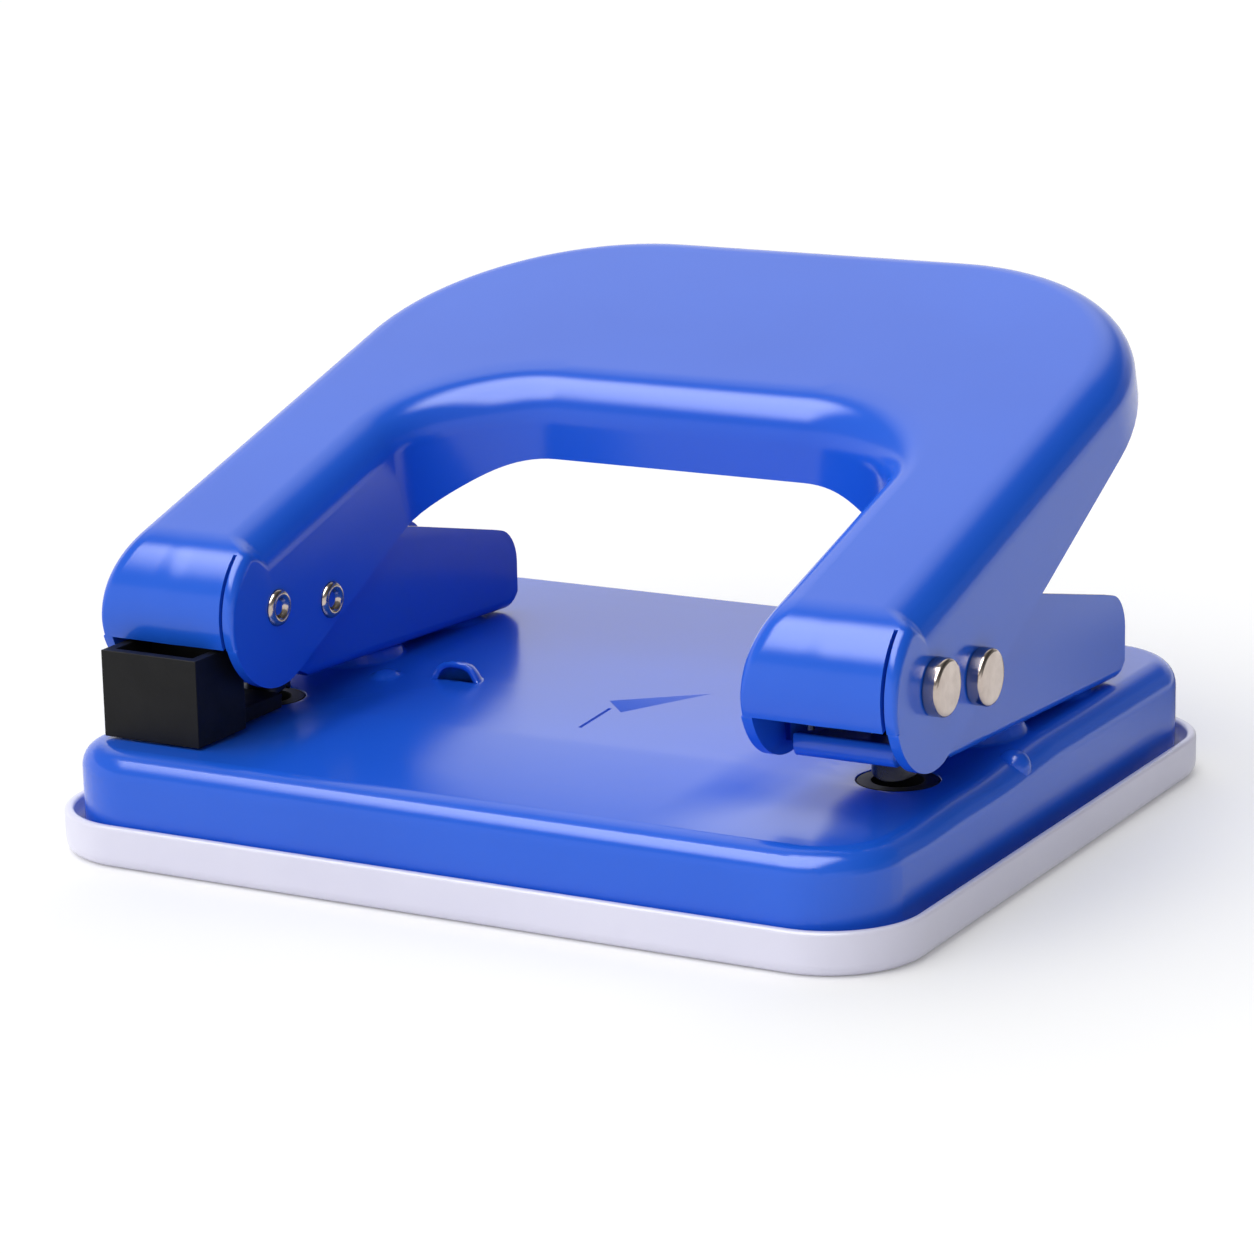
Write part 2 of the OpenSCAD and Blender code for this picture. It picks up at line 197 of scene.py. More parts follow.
mottle, given, result = shared_effect(
    "mottle", {"Patch": 40.0, "Grain": 1500.0}, ("Tone", "Height"))
where = put(mottle, "TexCoord").outputs["Object"]
patch = put(mottle, "TexNoise", {"Vector": where, "Scale": given.outputs["Patch"], "Detail": 3.0})
grain = put(mottle, "TexNoise", {"Vector": where, "Scale": given.outputs["Grain"], "Detail": 2.0})
mottle.links.new(patch.outputs["Fac"], result.inputs["Tone"])
mottle.links.new(grain.outputs["Fac"], result.inputs["Height"])

handling, given, result = shared_effect(
    "handling", {"Size": 60.0, "Least": 0.2, "Most": 0.3}, ("Roughness",))
where = put(handling, "TexCoord").outputs["Object"]
film = put(handling, "TexNoise", {
    "Vector": where, "Scale": given.outputs["Size"],
    "Detail": 5.0, "Roughness": 0.6, "Distortion": 0.4})
level = put(handling, "MapRange", {
    "Value": film.outputs["Fac"], "From Min": 0.3, "From Max": 0.7,
    "To Min": given.outputs["Least"], "To Max": given.outputs["Most"]})
handling.links.new(level.outputs["Result"], result.inputs["Roughness"])

tray_plastic, tree, shader = new_finish(
    "tray_plastic", IOR=1.5, Coat_Weight=0.25, Coat_Roughness=0.2)
skin = use_effect(tree, mottle, Patch=55.0, Grain=2400.0)
tree.links.new(ramp(tree, skin["Tone"], (0.3, (0.74, 0.73, 0.875)), (0.7, (0.785, 0.775, 0.91))),
               shader.inputs["Base Color"])
tree.links.new(use_effect(tree, handling, Size=90.0, Least=0.3, Most=0.42)["Roughness"],
               shader.inputs["Roughness"])
tree.links.new(raised(tree, skin["Height"], 0.04, 0.08 * mm), shader.inputs["Normal"])

tray = rounded_plate(tray_low, tray_high, tray_low.z, tray_corner)
tray_top = pull(tray, tray.faces[:], (0, 0, tray_high.z - tray_low.z))
bmesh.ops.inset_region(
    tray, faces=tray_top, thickness=tray_wall, use_even_offset=True, use_boundary=True)
pull(tray, tray_top, (0, 0, tray_floor - tray_high.z))
round_edges(tray, edges_at(tray, tray_low.z), tray_foot, 5)
tray.normal_update()
rim_edges = [e for e in edges_at(tray, tray_high.z) if e.calc_face_angle(0.0) > radians(60)]
round_edges(tray, rim_edges, tray_rim, 4)
tray_piece = add_piece("tray_moulding", tray, tray_plastic)
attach(tray_piece, "tray")
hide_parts("chip_tray")

# Base plate
# A deep-drawn steel pan with a rolled-over edge, crowned a little and falling off to the front.
# Pads, small bumps, two lanced stops and a mark are pressed up from it before it is enamelled blue.
base_low, base_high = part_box("base_plate")
die_low, die_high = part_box("die_right")
rivets_low, rivets_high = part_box("frame_rivets_right")
frame_low, frame_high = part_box("frame_right")
half_pitch = (die_low.x + die_high.x) / 2
punch_y = (die_low.y + die_high.y) / 2
base_top = die_high.z + 0.02 * mm
base_corner = 9.7 * mm
base_edge = 3.0 * mm
base_sheet = 1.2 * mm
pad_rise = frame_low.z - base_top
rivet_head = 3.39 * mm
rivet_rows = (rivets_low.y + rivet_head, rivets_high.y - rivet_head)
die_seat = 4.52 * mm
stop_y = punch_y + 12 * mm
stop_x = 22 * mm
stop_ring = 3.4 * mm
stop_mouth = 3.25 * mm
stop_rise = 2.17 * mm
bump_side = 8.6 * mm
bump_ring = 2.2 * mm
bump_ball = 1.9 * mm
pad_ring = 6.6 * mm
seat_gap = 0.12 * mm
side_in = Vector((1.2 * mm, 0, 0))
plate_front = -22 * mm
crown_start = -20 * mm
crown_slope = 0.042
crown_run = 3 * mm
dip_depth = 0.95 * mm
dip_back, dip_back_run = 6 * mm, 20 * mm
dip_front, dip_front_run = -44 * mm, 16 * mm
dip_inner, dip_inner_run = 22 * mm, 10 * mm
under_level, under_slope = 14.9 * mm, 0.047
strip = 2 * mm
strips_front, strips_back = 12, 14
mark = [Vector((x * mm, y * mm, base_top)) for x, y in (
    (-1.5, -4.6), (2.1, -8.4), (7.6, 2.9))]
mark_depth = 0.9 * mm
stem = [Vector((x * mm, y * mm, base_top)) for x, y in (
    (0.8, -15.8), (1.25, -15.8), (0.4, -7.4), (-0.05, -7.4))]
stem_depth = 0.3 * mm

blue_enamel, tree, shader = new_finish(
    "blue_enamel", IOR=1.5, Specular_IOR_Level=0.0, Coat_Weight=0.94, Coat_Roughness=0.19)
skin = use_effect(tree, mottle, Patch=26.0, Grain=520.0)
paint = ramp(tree, skin["Tone"], (0.3, (0.011, 0.106, 0.68)), (0.7, (0.014, 0.121, 0.74)))
tree.links.new(paint, shader.inputs["Base Color"])
tree.links.new(use_effect(tree, handling, Size=70.0, Least=0.26, Most=0.36)["Roughness"],
               shader.inputs["Roughness"])
peel = raised(tree, skin["Height"], 0.05, 0.1 * mm)
tree.links.new(peel, shader.inputs["Normal"])
tree.links.new(peel, shader.inputs["Coat Normal"])


def verts_of(parts):
    """The vertices of some edges or faces."""
    return list(dict.fromkeys(v for part in parts for v in part.verts))


def cut(work, point, normal, faces=None, **clear):
    """Cuts every face, or only some, along a plane."""
    faces = work.faces[:] if faces is None else faces
    geom = verts_of(faces) + edges_of(faces) + faces
    bmesh.ops.bisect_plane(work, geom=geom, dist=1e-7, plane_co=point, plane_no=normal, **clear)


def ring(work, centre, radius, steps=32):
    """A ring of edges round a point of the plate."""
    made = bmesh.ops.create_circle(work, cap_ends=False, segments=steps, radius=radius,
                                   matrix=Matrix.Translation(centre))["verts"]
    return list(dict.fromkeys(e for v in made for e in v.link_edges))


def press(work, edges, centre, profile):
    """Draws a ring of edges through steps of radius and height, and gives back the last ring."""
    for radius, height in profile:
        made = bmesh.ops.extrude_edge_only(work, edges=edges)["geom"]
        edges = [e for e in only(made, bmesh.types.BMEdge) if len(e.link_faces) < 2]
        for v in verts_of(edges):
            out = Vector((v.co.x - centre.x, v.co.y - centre.y, 0)).normalized()
            v.co = centre + out * radius + Vector((0, 0, height))
    return edges


def close_pole(work, edges):
    """Fills a ring with a fan about its centre."""
    face = bmesh.ops.contextual_create(work, geom=edges)["faces"]
    return bmesh.ops.poke(work, faces=face)["verts"][0]


def ease(share):
    """0 to 1 with a soft start and end."""
    share = min(1.0, max(0.0, share))
    return share * share * (3 - 2 * share)


def table_z(y, dipped=1.0):
    """Height of the plate: level at the back, dipped at the punches, falling off to the front."""
    dip = ease((dip_back - y) / dip_back_run) * ease((y - dip_front) / dip_front_run)
    dip *= dipped * dip_depth
    run = max(0.0, crown_start - y)
    return base_top - dip - crown_slope * run ** 2 / (run + crown_run)


def frame_under(y):
    """Height of the underside of a channel, which rises a little to the front."""
    return under_level - under_slope * y


base = rounded_plate(base_low + side_in, base_high - side_in, base_low.z, base_corner)
pull(base, base.faces[:], (0, 0, base_top - base_low.z))
bmesh.ops.delete(base, geom=faces_at(base, base_low.z), context="FACES_ONLY")
round_edges(base, edges_at(base, base_top), base_edge, 9)
for step in range(strips_front):
    cut(base, (0, plate_front - step * strip, 0), (0, 1, 0))
plate = max(faces_at(base, base_top), key=lambda face: face.calc_center_median().y)
border = plate.edges[:]
bmesh.ops.delete(base, geom=[plate], context="FACES_ONLY")
seats, pads, bumps, stops = [], [], [], []
for side in (-1, 1):
    at = Vector((side * half_pitch, punch_y, base_top))
    seats.append((at, ring(base, at, die_seat + seat_gap, 40)))
    for y in rivet_rows:
        at = Vector((side * half_pitch, y, base_top))
        pads.append((at, ring(base, at, pad_ring, 36)))
    at = Vector((side * (half_pitch - bump_side), stop_y, base_top))
    bumps.append((at, ring(base, at, bump_ring, 20)))
    at = Vector((side * stop_x, stop_y, base_top))
    stops.append((at, ring(base, at, stop_ring, 32)))
marks = []
for outline in (mark, stem):
    points = [base.verts.new(p) for p in outline]
    marks.append((points, [base.edges.new(pair) for pair in zip(points, points[1:] + points[:1])]))
fill = [e for group in (seats, pads, bumps, stops, marks) for at, edges in group for e in edges]
bmesh.ops.triangle_fill(base, edges=border + fill, use_beauty=True, normal=(0, 0, 1))
for at, edges in seats:
    press(base, edges, at, [(die_seat + 0.03 * mm, -0.04 * mm), (die_seat, -0.5 * mm)])
for at, edges in pads:
    rise = [(6.4 * mm, 0.1 * mm), (6.2 * mm, 0.35 * mm), (5.95 * mm, 1.2 * mm),
            (5.8 * mm, pad_rise - 0.35 * mm), (5.55 * mm, pad_rise - 0.08 * mm),
            (5.2 * mm, pad_rise)]
    bmesh.ops.contextual_create(base, geom=press(base, edges, at, rise))
for at, edges in bumps:
    dome = [(1.85 * mm, 0.06 * mm), (1.6 * mm, 0.2 * mm), (1.35 * mm, 0.38 * mm),
            (1.0 * mm, 0.55 * mm), (0.6 * mm, 0.64 * mm), (0.25 * mm, 0.67 * mm)]
    close_pole(base, press(base, edges, at, dome))
for at, edges in stops:
    hood = [(3.15 * mm, 0.1 * mm), (2.98 * mm, 0.45 * mm), (2.7 * mm, 1.0 * mm),
            (2.2 * mm, 1.6 * mm), (1.5 * mm, 1.98 * mm), (0.7 * mm, 2.15 * mm)]
    pole = close_pole(base, press(base, edges, at, hood))
    pole.co.z = at.z + stop_rise
    lip = [e for e in base.edges if all(
        abs(v.co.y - at.y) < 1e-7 and abs(v.co.x - at.x) < stop_mouth for v in e.verts)]
    bmesh.ops.split_edges(base, edges=lip)
    middles = [(f, f.calc_center_median()) for f in base.faces]
    for v in verts_of([f for f, mid in middles if mid.y < at.y and (mid - at).length < stop_mouth]):
        v.co.z = at.z
(left, front, right), edges = marks[0]
low = base.verts.new(front.co - Vector((0, 0, mark_depth)))
for corners in ((left, low, right), (left, front, low), (front, right, low)):
    base.faces.new(corners)
points, edges = marks[1]
ends = [base.verts.new((a.co + b.co) / 2 - Vector((0, 0, stem_depth)))
        for a, b in (points[:2], points[2:])]
for corners in ((points[0], points[1], ends[0]), (points[1], points[2], ends[1], ends[0]),
                (points[2], points[3], ends[1]), (points[3], points[0], ends[0], ends[1])):
    base.faces.new(corners)
for corners in ((left, front, right, low), points + ends):
    for e in {e for v in corners for e in v.link_edges}:
        if all(v in corners for v in e.verts):
            e.smooth = False
for step in range(1, strips_back):
    cut(base, (0, plate_front + step * strip, 0), (0, 1, 0))
for x in (-32, -29.5, -27, -24.5, -22, 22, 24.5, 27, 29.5, 32):
    cut(base, (x * mm, 0, 0), (1, 0, 0))
for v in base.verts:
    y = v.co.y
    near_pad = min((v.co.xy - at.xy).length for at, edges in pads) < pad_ring + 0.1 * mm
    if near_pad and v.co.z > base_top + 1e-7:
        v.co.z = table_z(y) + (frame_under(y) - table_z(y)) * (v.co.z - base_top) / pad_rise
    else:
        dipped = ease((abs(v.co.x) - dip_inner) / dip_inner_run)
        share = min(1.0, (v.co.z - base_low.z) / (base_top - base_low.z))
        v.co.z += (table_z(y, dipped) - base_top) * share
for side in (-1, 1):
    at = Vector((side * (half_pitch + bump_side - 0.6 * mm), stop_y, table_z(stop_y) - 1.2 * mm))
    bmesh.ops.create_uvsphere(base, u_segments=24, v_segments=14, radius=bump_ball,
                              matrix=Matrix.Translation(at))
base_piece = add_piece(
    "base_pressing", base, blue_enamel, wall=base_sheet, even=False)
drawn = base_piece.vertex_groups.new(name="drawn")
for v in base_piece.data.vertices:
    near_stop = any((v.co.xy - at.xy).length < stop_mouth - 0.05 * mm for at, edges in stops)
    drawn.add([v.index], 0.55 if near_stop and v.co.z > base_top else 1.0, "REPLACE")
base_piece.modifiers["wall"].vertex_group = "drawn"
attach(base_piece, "base")
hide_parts("base_plate")

# Dies
# Two hardened steel bushes, ground flush with the base under the punches.
# Each is turned with a sharp bore and pressed into its seat from below.
lay, given, result = shared_effect(
    "machine_lay", {"Lines": 900.0, "Stretch": 0.04}, ("Tone", "Height"))
where = put(lay, "TexCoord").outputs["Object"]
along = put(lay, "CombineXYZ", {"X": given.outputs["Stretch"], "Y": 1.0, "Z": 1.0})
drawn_out = put(lay, "VectorMath", {0: where, 1: along.outputs["Vector"]}, operation="MULTIPLY")
lines = put(lay, "TexNoise", {
    "Vector": drawn_out.outputs["Vector"], "Scale": given.outputs["Lines"], "Detail": 4.0})
lay.links.new(lines.outputs["Fac"], result.inputs["Tone"])
lay.links.new(lines.outputs["Fac"], result.inputs["Height"])


def steel(name, dark, light, least, most, lines=900.0, stretch=0.04, depth=0.05):
    """A steel with the lines of its machining, and a gloss that varies where it was handled."""
    finish, tree, shader = new_finish(name, Metallic=1.0)
    skin = use_effect(tree, lay, Lines=lines, Stretch=stretch)
    tree.links.new(ramp(tree, skin["Tone"], (0.3, dark), (0.7, light)), shader.inputs["Base Color"])
    tree.links.new(use_effect(tree, handling, Size=220.0, Least=least, Most=most)["Roughness"],
                   shader.inputs["Roughness"])
    tree.links.new(raised(tree, skin["Height"], depth, 0.05 * mm), shader.inputs["Normal"])
    return finish


dark_steel = steel("dark_steel", (0.05, 0.05, 0.052), (0.11, 0.11, 0.112), 0.22, 0.34)
black_oxide, tree, shader = new_finish("black_oxide", IOR=1.5, Specular_IOR_Level=0.2)
skin = use_effect(tree, lay, Lines=700.0, Stretch=0.05)
tree.links.new(ramp(tree, skin["Tone"], (0.3, (0.008, 0.008, 0.01)), (0.7, (0.016, 0.016, 0.019))),
               shader.inputs["Base Color"])
tree.links.new(use_effect(tree, handling, Size=200.0, Least=0.4, Most=0.52)["Roughness"],
               shader.inputs["Roughness"])


def swing(work, edges, centre, axis, angle, steps, step=(0, 0, 0), merge=False):
    """Spins edges about an axis and gives back what stands at the far end."""
    return bmesh.ops.spin(
        work, geom=verts_of(edges) + edges, cent=centre, axis=axis, dvec=step,
        angle=angle, steps=steps, use_merge=merge,
        use_normal_flip=False, use_duplicate=False)["geom_last"]


def turned_piece(profile, centre, axis, steps=48):
    """A round piece: a profile of (along, radius) points spun about an axis through a point."""
    work = bmesh.new()
    across = Vector((0, 1, 0)) if axis.y == 0 else Vector((1, 0, 0))
    points = [work.verts.new(centre + axis * along + across * radius) for along, radius in profile]
    edges = [work.edges.new(pair) for pair in zip(points, points[1:])]
    swing(work, edges, centre, axis, 2 * pi, steps, merge=True)
    bmesh.ops.remove_doubles(work, verts=work.verts, dist=1e-6)
    return work


for side, name in ((-1, "left"), (1, "right")):
    low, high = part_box("die_" + name)
    flush = table_z(punch_y) - low.z - 0.03 * mm
    bush = turned_piece([
        (0, 2.88 * mm), (0, die_seat - 0.05 * mm), (flush - 0.15 * mm, die_seat - 0.05 * mm),
        (flush, die_seat - 0.2 * mm), (flush, 2.86 * mm), (0, 2.88 * mm)],
        Vector((side * half_pitch, punch_y, low.z)), Vector((0, 0, 1)))
    bush_piece = add_piece("die_bush_" + name, bush, black_oxide, edge=0.05 * mm)
    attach(bush_piece, "base")
    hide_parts("die_" + name)

# Punch frames
# Two blue channels of the same sheet, bent up along both sides with a short lip at the front.
# Each stands on two pads of the base and holds the pins of its side.
hinge = next(j for j in frame["joints"] if j["name"] == "lever_press")
pivot = Vector(hinge["pos_m"])
frame_wide = frame_high.x - frame_low.x
frame_bend = 1.4 * mm
frame_sheet = 1.2 * mm
lip_y = pivot.y - 1.8 * mm
lip_rise = 4.6 * mm
flap_z = 22.95 * mm
heel = 2.0 * mm
floor_end = -17 * mm
toe_rise = 17.6 * mm
toe_half = 5.7 * mm
toe_fold = 1.1 * mm

side_profile = [(floor_end, frame_under(floor_end)),
                (frame_high.y - heel, frame_under(frame_high.y - heel)),
                (frame_high.y, frame_under(frame_high.y) + heel)]
tail_top, crest, ear = len(side_profile), len(side_profile) + 3, len(side_profile) + 4
side_profile += [(frame_high.y, 23.12 * mm), (5 * mm, 28.56 * mm), (-8 * mm, 30.2 * mm),
                 (pivot.y, frame_high.z), (frame_low.y, pivot.z), (frame_low.y, flap_z),
                 (lip_y - frame_sheet, flap_z), (lip_y, flap_z - 1.8 * mm), (lip_y, 19 * mm),
                 (floor_end - 5.5 * mm, 18.4 * mm)]
for side, name in ((-1, "left"), (1, "right")):
    channel = bmesh.new()
    walls = []
    for beside in (-1, 1):
        x = side * half_pitch + beside * frame_wide / 2
        walls.append([channel.verts.new((x, y, z)) for y, z in side_profile])
        channel.faces.new(walls[-1])
    channel.faces.new((walls[0][0], walls[1][0], walls[1][1], walls[0][1]))
    bmesh.ops.recalc_face_normals(channel, faces=channel.faces)
    round_edges(channel, [channel.edges.get((wall[0], wall[1])) for wall in walls], frame_bend, 6)
    corners = [v for v in channel.verts
               if abs(abs(v.co.x - side * half_pitch) - frame_wide / 2) < 1e-6]
    for place, radius, steps in ((tail_top, 3.6 * mm, 8), (crest, 2.2 * mm, 6), (ear, 2.2 * mm, 6)):
        spot = Vector(side_profile[place])
        sharp = [v for v in corners if v.is_valid and (v.co.yz - spot).length < 1e-5]
        bmesh.ops.bevel(channel, geom=sharp, offset=radius, segments=steps, profile=0.5,
                        affect="VERTICES", material=-1)
    toe = [e for e in channel.edges if e.is_boundary and all(
        abs(v.co.y - floor_end) < 1e-6 and v.co.z < frame_under(floor_end) + 1e-6 for v in e.verts)]
    front_z = frame_low.z + lip_rise
    for y, z in ((floor_end - 5 * mm, toe_rise), (lip_y - frame_sheet, toe_rise),
                 (lip_y - frame_sheet, front_z)):
        made = bmesh.ops.extrude_edge_only(channel, edges=toe)["geom"]
        tips = only(made, bmesh.types.BMVert)
        toe = [e for e in only(made, bmesh.types.BMEdge) if all(v in tips for v in e.verts)]
        for v in tips:
            beside = toe_half if v.co.x > side * half_pitch else -toe_half
            v.co = Vector((side * half_pitch + beside, y, z))
        if z < front_z:
            fold = toe
    round_edges(channel, fold, toe_fold, 4)
    channel_piece = add_piece(
        "punch_frame_" + name, channel, blue_enamel, wall=frame_sheet, even=False)
    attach(channel_piece, "base")
    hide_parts("frame_" + name)

# Frame rivets
# Two bright zinc-plated steel rivets a side, with low round heads.
# They join the floor of each channel to its pads and are spread under the base.
plain_steel = steel("plain_steel", (0.5, 0.5, 0.52), (0.66, 0.66, 0.68), 0.22, 0.34)


def join(first, second):
    """Adds a second bmesh to the first one."""
    spare = bpy.data.meshes.new("spare")
    second.to_mesh(spare)
    second.free()
    first.from_mesh(spare)
    bpy.data.meshes.remove(spare)
    return first


for side, name in ((-1, "left"), (1, "right")):
    low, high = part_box("frame_rivets_" + name)
    middle = (low.x + high.x) / 2
    head = [(0, rivet_head), (0.25 * mm, 3.36 * mm), (0.8 * mm, 2.9 * mm),
            (1.25 * mm, 2.1 * mm), (1.52 * mm, 1.1 * mm), (1.6 * mm, 0)]
    rivets = None
    for y in rivet_rows:
        floor_z = frame_under(y) + frame_sheet
        tail = [(low.z - floor_z, 0), (low.z - floor_z, 1.9 * mm), (0, 1.95 * mm)]
        one = turned_piece(tail + head, Vector((middle, y, floor_z)), Vector((0, 0, 1)), 32)
        rivets = join(rivets, one) if rivets else one
    rivet_piece = add_piece("rivet_pair_" + name, rivets, plain_steel)
    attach(rivet_piece, "base")
    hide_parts("frame_rivets_" + name)

# Punches
# Two ground and blackened steel rods, each with a tip in a shallow V that cuts from two sides.
# The drive pin passes over the head, and the thin stem above slides in its bridge.
rod_radius = 2.8 * mm
stem_radius = 2.5 * mm
head_radius = 5 * mm
tip_rise = 1.0 * mm
shoulder_z, crown_z = 21.02 * mm, 28.03 * mm
for side, name in ((-1, "left"), (1, "right")):
    low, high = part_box("punch_" + name)
    foot = Vector(((low.x + high.x) / 2, punch_y, table_z(punch_y) + 0.3 * mm))
    head_z = shoulder_z - foot.z
    head_top = crown_z - foot.z
    stem_top = high.z - foot.z
    rod = turned_piece([
        (0, 0), (0, rod_radius - 0.15 * mm), (0.15 * mm, rod_radius), (head_z, rod_radius),
        (head_z, head_radius - 0.4 * mm), (head_z + 0.4 * mm, head_radius),
        (head_top - 0.5 * mm, head_radius), (head_top, head_radius - 0.5 * mm),
        (head_top, stem_radius), (stem_top - 0.6 * mm, stem_radius),
        (stem_top, stem_radius - 0.5 * mm), (stem_top, 0)],
        foot, Vector((0, 0, 1)), 48)
    cut(rod, foot, (0, 1, 0))
    for v in rod.verts:
        if v.co.z < foot.z + 0.2 * mm:
            v.co.z += tip_rise * max(0.0, 1 - abs(v.co.y - punch_y) / rod_radius)
    rod_piece = add_piece("punch_rod_" + name, rod, dark_steel, edge=0.12 * mm)
    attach(rod_piece, name + "_punch")
    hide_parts("punch_" + name)

# Guide bridges
# A flat steel plate across each channel, notched between its walls.
# Its hole steers the stem of the punch; it keeps the shape of its solid.
for name in ("bridge_left", "bridge_right"):
    frame["nodes"][name].data.materials.clear()
    frame["nodes"][name].data.materials.append(plain_steel)

# Lever
# One blue steel pressing: a broad handle with a finger opening, its edges turned down all round.
# Two legs end in round discs and a rolled nose, and turn on the pivot pins.
lever_low, lever_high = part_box("lever")
leg_wide = 17.8 * mm
leg_half = leg_wide / 2
lever_out = lever_high.x
lever_in = lever_out - leg_wide
nose = 9 * mm
reach = 81 * mm
opening = 42 * mm
handle_corner = 30 * mm
opening_corner = 15 * mm
turn_down = 4.5 * mm
slit_fold = 1.3 * mm
rim_fold = 0.4 * mm
slit_up = radians(68)
slit_at = 7.15 * mm
slit_wide = 0.45 * mm
roll = radians(94)
lever_sheet = 1.2 * mm
lever_tilt = radians(16.5)
flange_slope = radians(9.86)
ridge = 0.06 * mm
ridge_half = 1.2 * mm
ridge_turn = 0.6
arch_fold = 6.5 * mm
arch_in = 3.5 * mm
arch_rise = 2.2 * mm
arch_lean = radians(15)

lever = bmesh.new()
plan = [(-lever_out, 0), (-lever_out, reach), (lever_out, reach), (lever_out, 0),
        (lever_in, 0), (lever_in, opening), (-lever_in, opening), (-lever_in, 0)]
plan = [lever.verts.new((x, y, nose)) for x, y in plan]
lever.faces.new(plan)
for corners, radius, steps in ((plan[1:3], handle_corner, 24), (plan[5:7], opening_corner, 18)):
    bmesh.ops.bevel(lever, geom=corners, offset=radius, segments=steps, profile=0.5,
                    affect="VERTICES", material=-1)
pull(lever, lever.faces[:], (0, 0, -2.2 * nose))
bmesh.ops.delete(lever, context="FACES_ONLY", geom=faces_at(lever, -1.2 * nose) + [
    f for f in lever.faces if all(abs(v.co.y) < 1e-7 for v in f.verts)])
rim_edges = [e for e in edges_at(lever, nose) if any(v.co.y > 1e-7 for v in e.verts)]
round_edges(lever, rim_edges, turn_down, 10)
cut(lever, (0, 0, -nose / cos(flange_slope)), (0, -sin(flange_slope), cos(flange_slope)),
    clear_inner=True)
for z in (0, rim_fold - nose):
    cut(lever, (0, 0, z), (0, 0, 1))
for v in lever.verts:
    if v.co.y < nose * sin(flange_slope) and v.co.z < -nose * 0.95:
        v.co.z = -sqrt(nose ** 2 - v.co.y ** 2)
for v in lever.verts:
    turn = Vector((max(0.0, abs(v.co.x) - lever_in + opening_corner),
                   max(0.0, v.co.y - opening + opening_corner)))
    back = turn.length - opening_corner
    share = ease(turn.y / turn.length) if turn.length else 0.0
    if share == 0 or not -1e-6 < back < turn_down + 1e-6:
        continue
    inward = -turn.normalized()
    fold, lean = turn_down + (arch_fold - turn_down) * share, arch_lean * share
    if v.co.z > nose - turn_down - 1e-6:
        around = atan2(turn_down - back, v.co.z - nose + turn_down) * (1 - 2 * lean / pi)
        go, z = fold * sin(around), nose - fold * (1 - cos(around))
    else:
        foot = -nose / cos(flange_slope) + v.co.y * sin(flange_slope) / cos(flange_slope)
        end = nose - fold * (1 - sin(lean))
        z = foot + arch_rise * share
        z += (end - z) * (v.co.z - foot) / (nose - turn_down - foot)
        go = fold * cos(lean) + (end - z) * sin(lean) / cos(lean)
    step = inward * (back + arch_in * share - fold + go)
    v.co = Vector((v.co.x + step.x * (1 if v.co.x > 0 else -1), v.co.y + step.y, z))
for side in (-1, 1):
    for beside in (-1.5, -0.9, -0.35, 0.2, 0.75, 1.35):
        web = [f for f in lever.faces if any(
            abs(v.co.y) < 1e-7 and v.co.z > nose - 1e-7 for v in f.verts)]
        cut(lever, (side * half_pitch + beside * mm, 0, 0), (1, 0, 0), web)
front = [e for e in lever.edges if all(abs(v.co.y) < 1e-7 for v in e.verts)]
rolled = [e for e in front if all(v.co.z > -1e-7 for v in e.verts)]
discs = [e for e in front if all(v.co.z < 1e-7 for v in e.verts)]
before = set(lever.verts)
swing(lever, rolled, (0, 0, 0), (1, 0, 0), roll, 30)
for v in set(lever.verts) - before:
    leg = half_pitch if v.co.x > 0 else -half_pitch
    beside, away = v.co.x - leg, sqrt(v.co.y ** 2 + v.co.z ** 2)
    up = atan2(v.co.z, -v.co.y)
    if away < 1e-7:
        continue
    fold = rim_fold + (turn_down - rim_fold) * ease(up / (pi / 2))
    if beside > 0:
        fold = rim_fold + (slit_fold - rim_fold) * ease(up / slit_up)
        fold += (turn_down - slit_fold) * ease((up - slit_up) / (pi / 2 - slit_up))
    flat = leg_half - turn_down
    if abs(beside) < flat + 1e-7:
        hump = ridge * max(0.0, 1 - abs(beside) / ridge_half) * ease((pi / 2 - up) / ridge_turn)
        new_beside, new_away = beside * (leg_half - fold) / flat, nose + hump
    elif away > nose - turn_down + 1e-7:
        around = atan2(away - nose + turn_down, abs(beside) - flat)
        new_beside = (leg_half - fold + fold * cos(around)) * (1 if beside > 0 else -1)
        new_away = nose - fold + fold * sin(around)
    else:
        new_beside, new_away = beside, away * (nose - fold) / (nose - turn_down)
    v.co = Vector((leg + new_beside, v.co.y / away * new_away, v.co.z / away * new_away))
swing(lever, discs, (0, 0, 0), (1, 0, 0), roll - pi, 24)


def skin_faces(leg, low, high, front):
    """Faces of a leg's outer skin, between two places beside its middle and before a line."""
    middles = [(f, f.calc_center_median()) for f in lever.faces]
    return [f for f, mid in middles if low < mid.x - leg < high
            and mid.y < front and mid.yz.length > nose * 0.75]


for leg in (-half_pitch, half_pitch):
    for beside in (slit_at, slit_at + slit_wide):
        cut(lever, (leg + beside, 0, 0), (1, 0, 0),
            skin_faces(leg, -leg_half - 1e-6, leg_half + 1e-6, 0))
    slit = skin_faces(leg, slit_at, slit_at + slit_wide, -nose * cos(slit_up))
    bmesh.ops.delete(lever, geom=slit, context="FACES")
bmesh.ops.remove_doubles(lever, verts=lever.verts, dist=2e-6)
bmesh.ops.rotate(lever, verts=lever.verts, cent=(0, 0, 0),
                 matrix=Matrix.Rotation(lever_tilt, 3, "X"))
bmesh.ops.translate(lever, verts=lever.verts, vec=pivot)
lever_piece = add_piece(
    "lever_pressing", lever, blue_enamel, wall=lever_sheet, edge=0.22 * mm)
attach(lever_piece, "lever")
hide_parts("lever")

